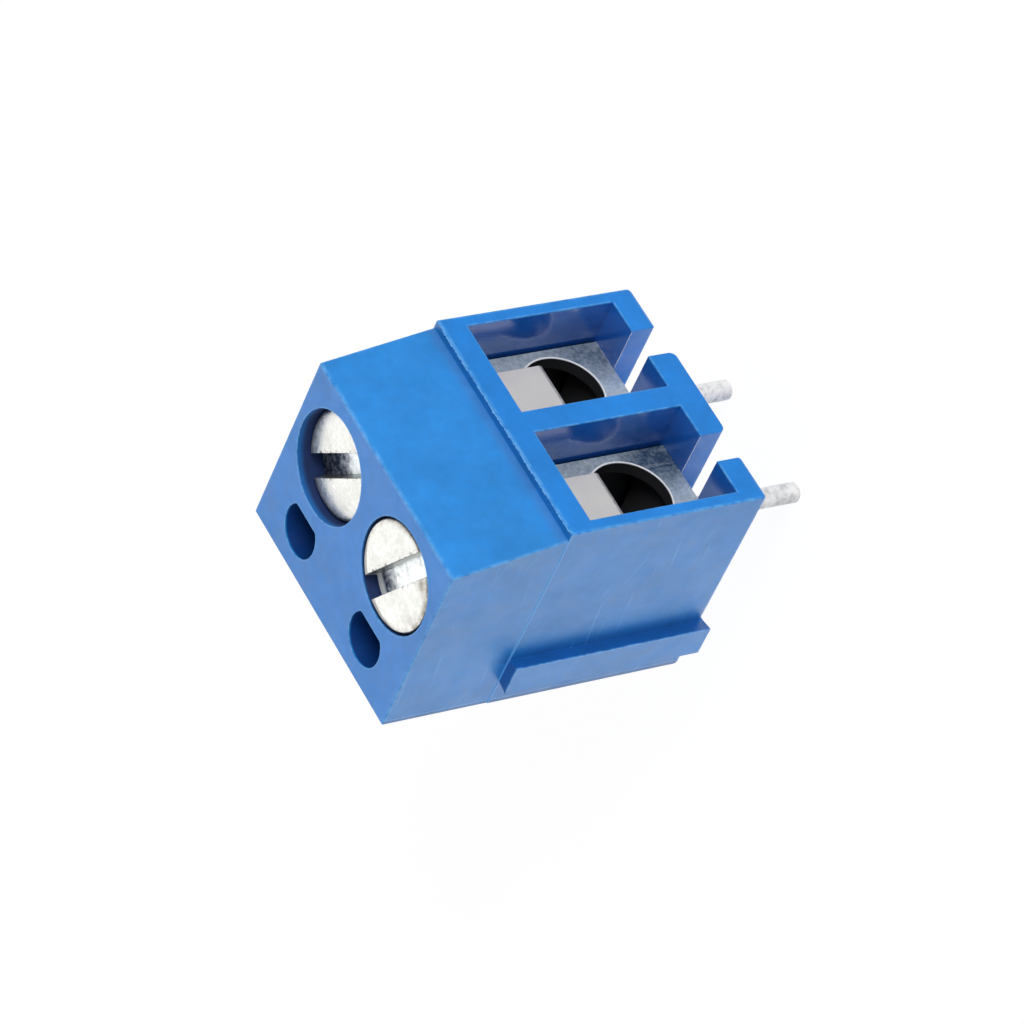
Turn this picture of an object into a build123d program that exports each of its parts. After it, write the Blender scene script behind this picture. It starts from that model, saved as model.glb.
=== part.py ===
from build123d import *
import os

# A screw terminal block for printed circuit boards.
# Frame: X along the row of poles, Y from the wire entry side to the back, Z away from the board.
# The origin is on the board's face, midway between the solder pins. Sizes in millimetres.

# Row of poles
PITCH = 5.0
POLES = 2

# Housing outline, seen from the side
BODY_HEIGHT = 12.6
BODY_DEPTH = 9.0
STEP_HEIGHT = 8.25      # ledge round the front where the upper part begins
STEP_DEPTH = 0.36       # how far the upper part stands back there
SLOPE_RUN = 0.89        # run of the sloped front between ledge and top face
UPPER_INSET = 0.02      # witness step of the upper mould half at the sides and back
EDGE_ROUND = 0.06
FOOT_ROUND = 0.27
WINDOW_ROUND = 0.04     # on the front face, round the chambers' openings

# Chambers, one for each pole, open to the front
CHAMBER_WIDTH = 4.06
CHAMBER_HEIGHT = 6.15
FLOOR_THICKNESS = 1.1
PIN_SLOT_WIDTH = 1.2

# Distances from the front face back to the axes
PIN_SETBACK = 3.55
SCREW_SETBACK = 3.93
CORE_HOLE_SETBACK = 7.28

# Core holes behind the screws
CORE_HOLE_DIAMETER = 2.0
CORE_HOLE_FLAT = 0.7    # from the hole's axis forward to its flat
CORE_HOLE_ROUND = 0.15  # at the corners of the flat
CORE_HOLE_DEPTH = 9.5

# Dovetail that joins block to block
TONGUE_SETBACK = 6.52
TONGUE_WIDTH = 1.3
TONGUE_PROUD = 0.5
TONGUE_UNDERCUT = 0.1
DOVETAIL_CLEARANCE = 0.06

# Clamp frame, rolled from one strip
STRIP_THICKNESS = 0.5
FRAME_DEPTH = 3.96
BEND_RADIUS = 0.35      # at the middle of the strip
SEAM_GAP = 0.05         # between the floor's end and the front wall
FRAME_CLEARANCE = 0.12  # to the chamber's side walls
FRAME_TOP_CLEARANCE = 0.05
WIRE_HOLE_DIAMETER = 3.1
WIRE_HOLE_HEIGHT = 3.58
TAP_COLLAR_WALL = 0.45
TAP_COLLAR_DROP = 1.0

# Solder pin, riveted into the clamp frame's floor
PIN_DIAMETER = 0.75
PIN_DROP = 4.23
PIN_TIP_ROUND = 0.12
RIVET_DIAMETER = 0.7
PIN_COLLAR_CLEARANCE = 0.07  # to the sides of the slot in the housing's floor

# Clamp screw
SCREW_DIAMETER = 2.5
HEAD_DIAMETER = 3.98
HEAD_HEIGHT = 1.8
HEAD_DOME = 0.06
HEAD_RIM_ROUND = 0.1
SLOT_WIDTH = 0.82
SLOT_DEPTH = 0.58
TIP_CHAMFER = 0.3
THREAD_CLEARANCE = 0.05
HEAD_CLEARANCE = 0.08
PASSAGE_CLEARANCE = 0.25
REST_RECESS = [-0.04, 0.42]  # head below the top face at rest, pole by pole
SLOT_ANGLE = [61.0, 48.0]    # direction of the driver slot, from +X

# Wire guard, an L-shaped leaf
LEAF_THICKNESS = 0.25
GUARD_WIDTH = 2.16
GUARD_CLEARANCE = 0.05
GUARD_BEND_RADIUS = 0.15     # at the middle of the leaf
LIP_HEIGHT = 2.15
LEAF_END_GAP = 0.15          # to the frame's back wall

# Travel of guard and screw together
OPEN_ABOVE_FLUSH = 0.5       # head above the top face, fully open
LEAF_OPEN_CLEARANCE = 0.6    # leaf below the tapped collar, fully open
CLAMPED_LEAF_HEIGHT = 2.55   # leaf's underside above the board, fully closed

# Derived places
body_width = POLES * PITCH
front_y = -PIN_SETBACK
back_y = front_y + BODY_DEPTH
screw_y = front_y + SCREW_SETBACK
core_hole_y = front_y + CORE_HOLE_SETBACK
chamber_top = FLOOR_THICKNESS + CHAMBER_HEIGHT
pole_x = [PITCH * (pole - (POLES - 1) / 2) for pole in range(POLES)]

frame_width = CHAMBER_WIDTH - 2 * FRAME_CLEARANCE
frame_front_y = screw_y - FRAME_DEPTH / 2
frame_back_y = screw_y + FRAME_DEPTH / 2
frame_bottom = FLOOR_THICKNESS
frame_top = chamber_top - FRAME_TOP_CLEARANCE
collar_bottom = frame_top - STRIP_THICKNESS - TAP_COLLAR_DROP
chamber_back_y = frame_back_y + GUARD_CLEARANCE

# The screw is as long as it takes from the top face, fully open, down to the leaf
leaf_top_open = collar_bottom - LEAF_OPEN_CLEARANCE
screw_total = BODY_HEIGHT + OPEN_ABOVE_FLUSH - leaf_top_open
SCREW_LENGTH = screw_total - HEAD_HEIGHT
head_bottom_clamped = CLAMPED_LEAF_HEIGHT + LEAF_THICKNESS + SCREW_LENGTH
well_floor = head_bottom_clamped - PASSAGE_CLEARANCE

os.makedirs("parts", exist_ok=True)


# Housing
with BuildPart() as housing:
    # Lower body, from the board up to the ledge
    with BuildSketch(Plane.XY):
        with Locations((0, (front_y + back_y) / 2)):
            Rectangle(body_width, BODY_DEPTH)
    extrude(amount=STEP_HEIGHT)
    fillet(housing.edges().filter_by(Axis.Z), EDGE_ROUND)

    # Upper body with the sloped front, a witness step narrower
    with BuildSketch(Plane.YZ):
        with BuildLine():
            Polyline(
                (front_y + STEP_DEPTH, STEP_HEIGHT),
                (front_y + STEP_DEPTH + SLOPE_RUN, BODY_HEIGHT),
                (back_y - UPPER_INSET, BODY_HEIGHT),
                (back_y - UPPER_INSET, STEP_HEIGHT),
                close=True,
            )
        make_face()
    extrude(amount=body_width / 2 - UPPER_INSET, both=True)
    upper_edges = housing.edges().filter_by(lambda edge: edge.center().Z > STEP_HEIGHT + EDGE_ROUND)
    fillet(upper_edges, EDGE_ROUND)

    # Chambers, cut in from the front
    with BuildSketch(Plane.XZ.offset(-front_y)):
        with Locations(*[(x, FLOOR_THICKNESS + CHAMBER_HEIGHT / 2) for x in pole_x]):
            Rectangle(CHAMBER_WIDTH, CHAMBER_HEIGHT)
    extrude(amount=front_y - chamber_back_y, mode=Mode.SUBTRACT)

    # Slots in the floor that the pins slide in through, round behind the pin
    with BuildSketch(Plane.XY):
        with Locations(*[(x, 0) for x in pole_x]):
            Circle(PIN_SLOT_WIDTH / 2)
            Rectangle(PIN_SLOT_WIDTH, PIN_SETBACK, align=(Align.CENTER, Align.MAX))
    extrude(amount=FLOOR_THICKNESS, mode=Mode.SUBTRACT)
    foot_edges = housing.edges().filter_by(Axis.Y).group_by(Axis.Z)[0]
    fillet(foot_edges, FOOT_ROUND)
    front_edges = housing.edges().filter_by_position(Axis.Y, front_y, front_y)
    inner_edges = front_edges.filter_by(lambda edge: FOOT_ROUND < edge.center().Z < STEP_HEIGHT)
    window_edges = inner_edges.filter_by(
        lambda edge: abs(edge.center().X) < body_width / 2 - 2 * EDGE_ROUND
    )
    fillet(window_edges, WINDOW_ROUND)

    # Screw wells, with a narrower passage into the chamber
    with Locations(*[(x, screw_y, BODY_HEIGHT) for x in pole_x]):
        CounterBoreHole(
            radius=SCREW_DIAMETER / 2 + PASSAGE_CLEARANCE,
            counter_bore_radius=HEAD_DIAMETER / 2 + HEAD_CLEARANCE,
            counter_bore_depth=BODY_HEIGHT - well_floor,
            depth=BODY_HEIGHT - chamber_top,
        )

    # D-shaped core holes, flat towards the screws
    with BuildSketch(Plane.XY.offset(BODY_HEIGHT)) as core_holes:
        with Locations(*[(x, core_hole_y) for x in pole_x]):
            Circle(CORE_HOLE_DIAMETER / 2)
        with Locations(*[(x, core_hole_y - CORE_HOLE_FLAT) for x in pole_x]):
            Rectangle(
                CORE_HOLE_DIAMETER,
                CORE_HOLE_DIAMETER,
                align=(Align.CENTER, Align.MAX),
                mode=Mode.SUBTRACT,
            )
        flat_corners = core_holes.vertices().group_by(Axis.Y)[0]
        fillet(flat_corners, CORE_HOLE_ROUND)
    extrude(amount=-CORE_HOLE_DEPTH, mode=Mode.SUBTRACT)

    # Dovetail tongue on the -X side, rooted inside the wall
    tongue_front = front_y + TONGUE_SETBACK
    tongue_back = tongue_front + TONGUE_WIDTH
    with BuildSketch(Plane.XY):
        with BuildLine():
            Polyline(
                (-body_width / 2 + FOOT_ROUND, tongue_front + TONGUE_UNDERCUT),
                (-body_width / 2, tongue_front + TONGUE_UNDERCUT),
                (-body_width / 2 - TONGUE_PROUD, tongue_front),
                (-body_width / 2 - TONGUE_PROUD, tongue_back),
                (-body_width / 2, tongue_back - TONGUE_UNDERCUT),
                (-body_width / 2 + FOOT_ROUND, tongue_back - TONGUE_UNDERCUT),
                close=True,
            )
        make_face()
    extrude(amount=STEP_HEIGHT)

    # Dovetail groove on the +X side, open at the bottom
    with BuildSketch(Plane.XY):
        with BuildLine():
            Polyline(
                (body_width / 2, tongue_front + TONGUE_UNDERCUT),
                (body_width / 2 - TONGUE_PROUD, tongue_front),
                (body_width / 2 - TONGUE_PROUD, tongue_back),
                (body_width / 2, tongue_back - TONGUE_UNDERCUT),
                (body_width / 2 + TONGUE_PROUD, tongue_back - TONGUE_UNDERCUT),
                (body_width / 2 + TONGUE_PROUD, tongue_front + TONGUE_UNDERCUT),
                close=True,
            )
        make_face()
        offset(amount=DOVETAIL_CLEARANCE, kind=Kind.INTERSECTION)
    extrude(amount=STEP_HEIGHT + DOVETAIL_CLEARANCE, mode=Mode.SUBTRACT)

housing.part.label = "housing"
export_step(housing.part, "parts/housing.step")


for pole, x in enumerate(pole_x):
    number = pole + 1
    head_top = BODY_HEIGHT - REST_RECESS[pole % len(REST_RECESS)]
    screw_tip = head_top - screw_total
    leaf_bottom = screw_tip - LEAF_THICKNESS

    # Clamp frame: front wall, roof, back wall and floor, with the tapped collar under the roof
    half_strip = STRIP_THICKNESS / 2
    with BuildPart() as terminal_frame:
        with BuildSketch(Plane.YZ.offset(x)):
            with BuildLine():
                FilletPolyline(
                    (frame_front_y + half_strip, frame_bottom),
                    (frame_front_y + half_strip, frame_top - half_strip),
                    (frame_back_y - half_strip, frame_top - half_strip),
                    (frame_back_y - half_strip, frame_bottom + half_strip),
                    (frame_front_y + STRIP_THICKNESS + SEAM_GAP, frame_bottom + half_strip),
                    radius=BEND_RADIUS,
                )
            trace(line_width=STRIP_THICKNESS)
        extrude(amount=frame_width / 2, both=True)
        with BuildSketch(Plane.XY.offset(collar_bottom)):
            with Locations((x, screw_y)):
                Circle(SCREW_DIAMETER / 2 + THREAD_CLEARANCE + TAP_COLLAR_WALL)
        extrude(amount=TAP_COLLAR_DROP + half_strip)
        with BuildSketch(Plane.XY.offset(frame_top)):
            with Locations((x, screw_y)):
                Circle(SCREW_DIAMETER / 2 + THREAD_CLEARANCE)
        extrude(amount=collar_bottom - frame_top, mode=Mode.SUBTRACT)
        with BuildSketch(Plane.XZ.offset(-frame_front_y)):
            with Locations((x, WIRE_HOLE_HEIGHT)):
                Circle(WIRE_HOLE_DIAMETER / 2)
                Rectangle(
                    GUARD_WIDTH + 2 * GUARD_CLEARANCE,
                    leaf_top_open + GUARD_CLEARANCE - WIRE_HOLE_HEIGHT,
                    align=(Align.CENTER, Align.MIN),
                )
        extrude(amount=-STRIP_THICKNESS, mode=Mode.SUBTRACT)
        with BuildSketch(Plane.XY.offset(frame_bottom)):
            with Locations((x, 0)):
                Circle(RIVET_DIAMETER / 2)
        extrude(amount=STRIP_THICKNESS, mode=Mode.SUBTRACT)
    terminal_frame.part.label = f"terminal_frame_{number}"
    export_step(terminal_frame.part, f"parts/terminal_frame_{number}.step")

    # Solder pin, turned, with a collar from the frame's floor down to the board
    collar_radius = PIN_SLOT_WIDTH / 2 - PIN_COLLAR_CLEARANCE
    with BuildPart() as solder_pin:
        with BuildSketch(Plane.XZ):
            with BuildLine():
                Polyline(
                    (x, frame_bottom + STRIP_THICKNESS),
                    (x + RIVET_DIAMETER / 2, frame_bottom + STRIP_THICKNESS),
                    (x + RIVET_DIAMETER / 2, frame_bottom),
                    (x + collar_radius, frame_bottom),
                    (x + collar_radius, 0),
                    (x + PIN_DIAMETER / 2, 0),
                    (x + PIN_DIAMETER / 2, -PIN_DROP),
                    (x, -PIN_DROP),
                    close=True,
                )
            make_face()
        revolve(axis=Axis((x, 0, 0), (0, 0, 1)))
        fillet(solder_pin.edges().group_by(Axis.Z)[0], PIN_TIP_ROUND)
    solder_pin.part.label = f"solder_pin_{number}"
    export_step(solder_pin.part, f"parts/solder_pin_{number}.step")

    # Clamp screw: slightly domed slotted head, plain shank as wide as its thread
    with BuildPart() as clamp_screw:
        with BuildSketch(Plane.XZ.offset(-screw_y)):
            with BuildLine():
                rim = Line(
                    (x + HEAD_DIAMETER / 2, head_top - HEAD_HEIGHT),
                    (x + HEAD_DIAMETER / 2, head_top - HEAD_DOME),
                )
                ThreePointArc(
                    rim @ 1,
                    (x + HEAD_DIAMETER / 4, head_top - HEAD_DOME / 4),
                    (x, head_top),
                )
                Polyline(
                    (x, head_top),
                    (x, screw_tip),
                    (x + SCREW_DIAMETER / 2 - TIP_CHAMFER, screw_tip),
                    (x + SCREW_DIAMETER / 2, screw_tip + TIP_CHAMFER),
                    (x + SCREW_DIAMETER / 2, head_top - HEAD_HEIGHT),
                    rim @ 0,
                )
            make_face()
        revolve(axis=Axis((x, screw_y, 0), (0, 0, 1)))
        rim_edge = clamp_screw.edges().filter_by(lambda edge: edge.is_closed).sort_by(Axis.Z)[-1]
        fillet(rim_edge, HEAD_RIM_ROUND)
        with BuildSketch(Plane.XY.offset(head_top)):
            with Locations(Location((x, screw_y), SLOT_ANGLE[pole % len(SLOT_ANGLE)])):
                Rectangle(HEAD_DIAMETER, SLOT_WIDTH)
        extrude(amount=-SLOT_DEPTH, mode=Mode.SUBTRACT)
    clamp_screw.part.label = f"clamp_screw_{number}"
    export_step(clamp_screw.part, f"parts/clamp_screw_{number}.step")

    # Wire guard: lip in front of the frame, leaf under the screw's tip
    lip_y = frame_front_y - GUARD_CLEARANCE - LEAF_THICKNESS / 2
    leaf_end_y = frame_back_y - STRIP_THICKNESS - LEAF_END_GAP
    with BuildPart() as wire_guard:
        with BuildSketch(Plane.YZ.offset(x)):
            with BuildLine():
                FilletPolyline(
                    (lip_y, leaf_bottom + LIP_HEIGHT),
                    (lip_y, leaf_bottom + LEAF_THICKNESS / 2),
                    (leaf_end_y, leaf_bottom + LEAF_THICKNESS / 2),
                    radius=GUARD_BEND_RADIUS,
                )
            trace(line_width=LEAF_THICKNESS)
        extrude(amount=GUARD_WIDTH / 2, both=True)
    wire_guard.part.label = f"wire_guard_{number}"
    export_step(wire_guard.part, f"parts/wire_guard_{number}.step")
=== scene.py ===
import math

import bmesh
import bpy
import numpy as np
from mathutils import Matrix, Vector

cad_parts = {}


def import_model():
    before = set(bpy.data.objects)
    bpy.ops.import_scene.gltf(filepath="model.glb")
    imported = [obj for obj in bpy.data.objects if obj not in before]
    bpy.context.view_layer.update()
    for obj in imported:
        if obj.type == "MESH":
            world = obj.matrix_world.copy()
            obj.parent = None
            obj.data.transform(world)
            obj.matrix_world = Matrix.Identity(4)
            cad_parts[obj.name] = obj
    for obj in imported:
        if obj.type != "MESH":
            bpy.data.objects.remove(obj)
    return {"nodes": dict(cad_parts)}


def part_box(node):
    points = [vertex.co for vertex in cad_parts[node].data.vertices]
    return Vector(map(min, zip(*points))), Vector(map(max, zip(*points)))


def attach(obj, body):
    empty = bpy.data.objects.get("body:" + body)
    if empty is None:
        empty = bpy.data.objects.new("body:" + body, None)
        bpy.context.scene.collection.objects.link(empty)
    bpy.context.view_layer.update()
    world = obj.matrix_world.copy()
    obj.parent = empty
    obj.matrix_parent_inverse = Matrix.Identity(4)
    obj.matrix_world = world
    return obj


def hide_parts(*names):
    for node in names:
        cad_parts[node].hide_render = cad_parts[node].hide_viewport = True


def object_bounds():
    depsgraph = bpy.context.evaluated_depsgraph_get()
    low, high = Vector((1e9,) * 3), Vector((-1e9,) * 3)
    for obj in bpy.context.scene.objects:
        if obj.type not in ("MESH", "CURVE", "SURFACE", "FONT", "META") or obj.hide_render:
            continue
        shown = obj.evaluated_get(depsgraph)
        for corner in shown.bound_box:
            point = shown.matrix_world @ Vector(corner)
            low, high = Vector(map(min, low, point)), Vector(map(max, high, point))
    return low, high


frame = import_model()
cad_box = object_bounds()

MM = 0.001
MERGED_WITHIN = 1e-7         # metres between points of a mesh that become one

# Camera, as the photograph was taken
CAMERA_AZIMUTH = -35.73      # degrees from the wire side, below nought towards -X
CAMERA_ELEVATION = 32.66
CAMERA_ROLL = -100.74
CAMERA_DISTANCE = 181.8 * MM
CAMERA_TARGET = Vector((0.11, 1.62, 5.85)) * MM
CAMERA_LENS = 183.0

# Studio light
KEY_DIRECTION = (-0.15, -0.88, 0.38)
KEY_DISTANCE = 0.35
KEY_SIZE = 0.16
KEY_WATTS = 0.62
AMBIENT = 0.4                # how brightly the world lights the block
REFLECTED_FRONT = 0.1        # brightness that gloss sees in front of the wire side
REFLECTED_BACK = 1.6         # and behind the block
REFLECTED_FADE = (-0.6, 0.5)    # the ray's direction in Y, between which it rises
FLOOR_HALF = 0.6
FLOOR_WHITE = (0.9, 0.9, 0.9, 1)
FLOOR_REFLECTED_BACK = 2.2
FLOOR_REFLECTED_FADE = (-0.01, 0.006)   # places in Y on the floor, in metres
FLOOR_GLOW = 0.85            # share of the floor that the camera sees as plain white
FLOOR_GLOW_STRENGTH = 1.1    # which makes up for the shaded share

# The block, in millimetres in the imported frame
POLES = (1, 2)
POLE_X = 2.5
FRONT_Y = -3.55
LEDGE_HEIGHT = 8.25
LEDGE_BACK_Y = -3.19
BROW_Y = -2.3                # edge between the slope and the top face
BACK_LINE_Y = 5.22           # a painted highlight across the sides, just before the back, with painted shade behind it
SIDE_X = 5.0
TOP_HEIGHT = 12.6
SCREW_Y = 0.38
WELL_RADIUS = 2.07
WELL_FLOOR = 8.75
CORE_HOLE_Y = 3.73
CORE_HOLE_RADIUS = 1.0
CORE_HOLE_FLAT = 0.7         # from its axis forward to its flat
CORE_HOLE_FLOOR = 3.1
WINDOW_HALF_WIDTH = 2.03
WINDOW_MIDDLE = 4.175
WINDOW_HALF_HEIGHT = 3.075
CHAMBER_BACK_Y = 2.41
TONGUE_FRONT_Y = 2.97
TONGUE_X = -5.5

# Clamp frame and its wire hole
PLATE_FRONT_Y = -1.6
STRIP_THICKNESS = 0.5
WIRE_HOLE_HEIGHT = 3.58
BURR_RADIUS = 1.565
BURR_TUBE = 0.036
BURR_FROM = 137.0            # degrees, anticlockwise from +X, past the guard's notch
BURR_TO = 403.0
BURR_TAPER = 0.15            # the burr is thinner where the sine of its way round is below this
BURR_GRID = (97, 10)         # points along the burr and round its tube

# Clamp screw
HEAD_RADIUS = 1.99
HEAD_HEIGHT = 1.8
HEAD_DOME = 0.06
HEAD_GRID = (45, 57)         # points across the slot, besides those at its walls, and along it
HEAD_WALL_LEVELS = 4
HEAD_UNDERSIDE_RING = 0.6    # share of the outline's size, for the ring that the underside is closed by
RIM_ROUND = 0.12
SLOT_WIDTH = 0.82
SLOT_DEPTH = 0.58
SLOT_EDGE = 0.03             # half the width over which the face turns down into the slot
SLOT_EDGE_GRID = (1.6, 9)    # how many times that width the points at a wall spread, and their number
SLOT_BURR = 0.018
SLOT_BURR_WIDTH = 0.035
SLOT_BURR_WAVES = (7.3, 17.1)   # radians for each millimetre along the slot
NICKED_EDGE = 0.13           # how far from the slot's edges the face is nicked
SLOT_ANGLES = {1: 61.0, 2: 48.0}
SLOT_PAINTED_LIGHT = {               # painted light along the slot, how bright it is by place along it from -1 to 1
    1: ((-1.0, 1.0), (0.3, 0.9), (0.52, 0.35), (0.8, 0.15), (0.84, 1.3), (1.0, 1.3)),
    2: ((-1.0, 1.1), (0.0, 1.0), (0.2, 0.3), (0.5, 0.1), (1.0, 0.15)),
}
SHANK_ROOT = 0.3             # how far the threaded shank reaches up into the head
THREAD_RADIUS = 1.25
THREAD_PITCH = 0.45
THREAD_DEPTH = 0.24
THREAD_STRETCH = 0.125       # how far its wave is stretched past 0 and 1, which flattens crest and root
THREAD_GRID = (9, 48)        # points for each pitch and round the shank
TIP_CHAMFER = 0.3

# Wire guard
LEAF_THICKNESS = 0.25
LEAF_WIDTH = 2.16
LEAF_BEND = 0.15             # at the middle of the leaf
LEAF_EDGE = 0.045
LEAF_EDGE_POINTS = 5         # round each rounded edge
BEND_POINTS = 9
LIP_POINTS = 24
LEAF_POINTS = 14
BEND_SHADE_FLAT = 0.2         # the bend's band of painted shade is full this far above the leaf's underside
BEND_SHADE_FADE = 0.07        # and fades within this height above that

# Moulding flash along the ledge
FLASH_HALF_LENGTH = 4.93
FLASH_SETBACK = 0.02
FLASH_WIDTH = 0.03
FLASH_HEIGHT = 0.015
FLASH_RAGGED_WIDTH = 0.05    # added where it is most ragged
FLASH_RAGGED_HEIGHT = 0.03
FLASH_EVEN = 0.4             # mean size of the sines below which it isn't ragged
FLASH_RAGGED_GAIN = 3
FLASH_FADE = 0.05            # length of its fading ends
FLASH_WAVES = (1.1, 2.7, 5.9, 11.0, 19.0, 33.0)     # radians for each millimetre
FLASH_POINTS = 700
FLASH_SEED = 11

# Moulding's colours, painted light and shade among them; colours are linear
MOULDING_BLUE = (0.007, 0.258, 0.82)
# Painted light and shade by part: the slope and the sides are tinted for how light falls on them, a painted
# sheen lies just above the ledge, and painted shade lies behind the back line, by the tongue, on the ledge
# and on the tongue
PAINTED_LIGHT_TINTS = (           # part of the moulding, strength of its tint and its colour
    ("slope", 1.0, (0.014, 0.282, 0.81)),
    ("side", 0.5, (0.03, 0.25, 0.62)),
    ("shade behind line", 0.8, (0.012, 0.14, 0.42)),
    ("shade by tongue", 0.55, (0.006, 0.1, 0.42)),
    ("sheen above ledge", 1.0, (0.05, 0.25, 0.66)),
    ("ledge", 1.0, (0.008, 0.19, 0.58)),
    ("tongue", 1.0, (0.006, 0.11, 0.4)),
)
# Painted shade: a darker blue further into the chambers, and black past the clamp plate
CHAMBER_MOUTH_SHADE = (0.01, 0.15, 0.62)
CHAMBER_PLATE_SHADE = (0.012, 0.095, 0.42)
PAST_PLATE_SHADE = (0.004, 0.006, 0.014)
# Painted shade down the wells
WELL_MOUTH_SHADE = (0.003, 0.14, 0.48)
WELL_DEEP_SHADE = (0.002, 0.026, 0.13)
WELL_SHADE_FROM = (0.0, 0.08)    # depth at which that painted shade starts, at the near pole and the far one
WELL_SHADE_TO = (0.12, 0.34)
# Painted shade down the core holes
CORE_HOLE_SHADE = (0.004, 0.055, 0.26)
# Painted highlights along edges, rims, the flash and the sides' lines, and the sides' scratches, all in this
# light blue
HIGHLIGHT_AND_SCRATCH_BLUE = (0.16, 0.52, 1.0)
EDGE_HIGHLIGHTS = (               # two faces that meet in a painted highlight, and its width
    ("top", "brow", 0.16),
    ("top", "side", 0.16),
    ("front", "side", 0.14),
    ("front", "ledge", 0.14),
    ("tongue front", "tongue side", 0.1),
    ("ledge", "tongue side", 0.1),
)
SLOPE_HIGHLIGHT = 0.14            # width of the painted highlight where the slope meets the sides
RIM_HIGHLIGHT = 0.07              # and of those round the windows, wells and core holes
SIDE_HIGHLIGHTS = (               # painted highlights on the sides: where they are, their width and strength
    ("ledge", 0.09, 0.8),
    ("back line", 0.05, 0.55),
)
SIDE_SCRATCHES = (           # turn, stretch and threshold of two sets of scratches
    ((4, 0, 0), (1.0, 0.22, 5.0), 0.66),
    ((-22, 0, 0), (1.0, 0.3, 6.0), 0.68),
)
SCRATCH_STRENGTH = 0.3
# Strength of the painted highlight along the flash
FLASH_HIGHLIGHT = 0.75

# Plating of the clamp frames, with painted reflections, a painted highlight and painted shade
# The plating's tone runs between these: its fall from -X to +X and its dark corner are painted reflections,
# its clouds and specks the plating's own
PLATING_DARK = (0.05, 0.1, 0.17)
PLATING_LIGHT = (0.72, 0.83, 0.9)
PLATE_REFLECTION_REACH = 1.9       # the painted reflection changes this far to both sides of the pole
PLATE_REFLECTION_LEFT = (0.92, 1.1)   # on the -X side, at the near pole and the far one
PLATE_REFLECTION_RIGHT = 0.62
REFLECTED_DARK_CORNER = (1.35, 1.7)    # painted reflection of blue walls: its X from the pole's, and its height
REFLECTED_DARK_TONE = (-0.58, -0.35)
REFLECTED_DARK_REACH = (0.3, 1.7)  # darkest up to the first distance, and no darker past the second
REFLECTED_DARK_SQUASH = math.sqrt(0.7)
SCUFF_GREY = (0.7, 0.73, 0.76)
# Painted highlight along the punched hole's edge
PUNCHED_EDGE_HIGHLIGHT = (1.0, 1.0, 1.0)
PUNCHED_HIGHLIGHT_WIDTH = 0.075
INSIDE_LOW = 1.2             # heights between which the cage's inside is painted black, as shade
INSIDE_HIGH = 7.15
# Painted shade inside the cage
INSIDE_SHADE = (0.012, 0.0125, 0.014)
INSIDE_FAR_SHADE = (0.035, 0.036, 0.04)

# Tin, zinc and steel
TIN_BLOTCH = (0.6, 0.59, 0.58)
TIN_WHITE = (1.0, 0.98, 0.93)
ZINC_STAIN = (0.66, 0.66, 0.62)
ZINC_WHITE = (0.79, 0.79, 0.76)
RIM_AND_SPOT_BROWN = (0.2, 0.17, 0.13)
BROWN_RIM_WIDTH = 0.3            # width of the darker brown round the head's rim
BROWN_SPOTS = (            # on the near head: X, Y, radius and strength
    (-3.95, -0.67, 0.6, 0.95),
    (-4.07, 0.92, 0.7, 0.45),
)
NICK_BROWN = (0.16, 0.15, 0.12)
# The slot is painted dark as shade and bright as highlight
SLOT_SHADE = (0.035, 0.045, 0.075)
SLOT_HIGHLIGHT = (0.88, 0.92, 0.92)
# Painted shade on the slot's walls
SLOT_WALL_SHADE = (0.26, 0.29, 0.27)
SLOT_WALL_SHADE_STRENGTH = 0.85
STEEL_DARK = (0.3, 0.3, 0.3)
STEEL_LIGHT = (0.78, 0.755, 0.73)
# Painted shade round the guard's bend
STEEL_BEND_SHADE = (0.22, 0.23, 0.25)


def camera():
    """Looks at the target from the azimuth and elevation, then turns about its own axis by the roll."""
    azimuth = math.radians(CAMERA_AZIMUTH)
    elevation = math.radians(CAMERA_ELEVATION)
    back = Vector((
        math.sin(azimuth) * math.cos(elevation),
        -math.cos(azimuth) * math.cos(elevation),
        math.sin(elevation),
    ))
    level = (-back).to_track_quat("-Z", "Y").to_matrix()
    data = bpy.data.cameras.new("camera")
    data.lens = CAMERA_LENS
    data.clip_start = 0.01
    data.clip_end = 5
    seen = bpy.data.objects.new("camera", data)
    seen.matrix_world = (
        Matrix.Translation(CAMERA_TARGET + back * CAMERA_DISTANCE)
        @ (level @ Matrix.Rotation(math.radians(CAMERA_ROLL), 3, "Z")).to_4x4()
    )
    bpy.context.collection.objects.link(seen)
    bpy.context.scene.camera = seen


def area_light(name, direction, distance, size, watts):
    """A square lamp that stands along a direction from the block and faces it."""
    data = bpy.data.lights.new(name, "AREA")
    data.shape = "SQUARE"
    data.size = size
    data.energy = watts
    lamp = bpy.data.objects.new(name, data)
    towards = Vector(direction).normalized()
    lamp.matrix_world = (
        Matrix.Translation(CAMERA_TARGET + towards * distance)
        @ (-towards).to_track_quat("-Z", "Y").to_matrix().to_4x4()
    )
    bpy.context.collection.objects.link(lamp)


# Node helpers

def feed(tree, socket, source):
    """Wires a source socket to an input, or writes a plain value into it."""
    if isinstance(source, bpy.types.NodeSocket):
        tree.links.new(source, socket)
    else:
        socket.default_value = source


def calculate(tree, operation, *terms):
    """One Math node on up to three sockets or numbers."""
    node = tree.nodes.new("ShaderNodeMath")
    node.operation = operation
    for socket, term in zip(node.inputs, terms):
        feed(tree, socket, term)
    return node.outputs[0]


def product(tree, *terms):
    """All the terms multiplied together."""
    total = terms[0]
    for term in terms[1:]:
        total = calculate(tree, "MULTIPLY", total, term)
    return total


def greatest(tree, *terms):
    """The greatest of the terms."""
    total = terms[0]
    for term in terms[1:]:
        total = calculate(tree, "MAXIMUM", total, term)
    return total


def offset_from(tree, socket, place):
    """How far a coordinate lies past a place."""
    return calculate(tree, "SUBTRACT", socket, place)


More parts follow.
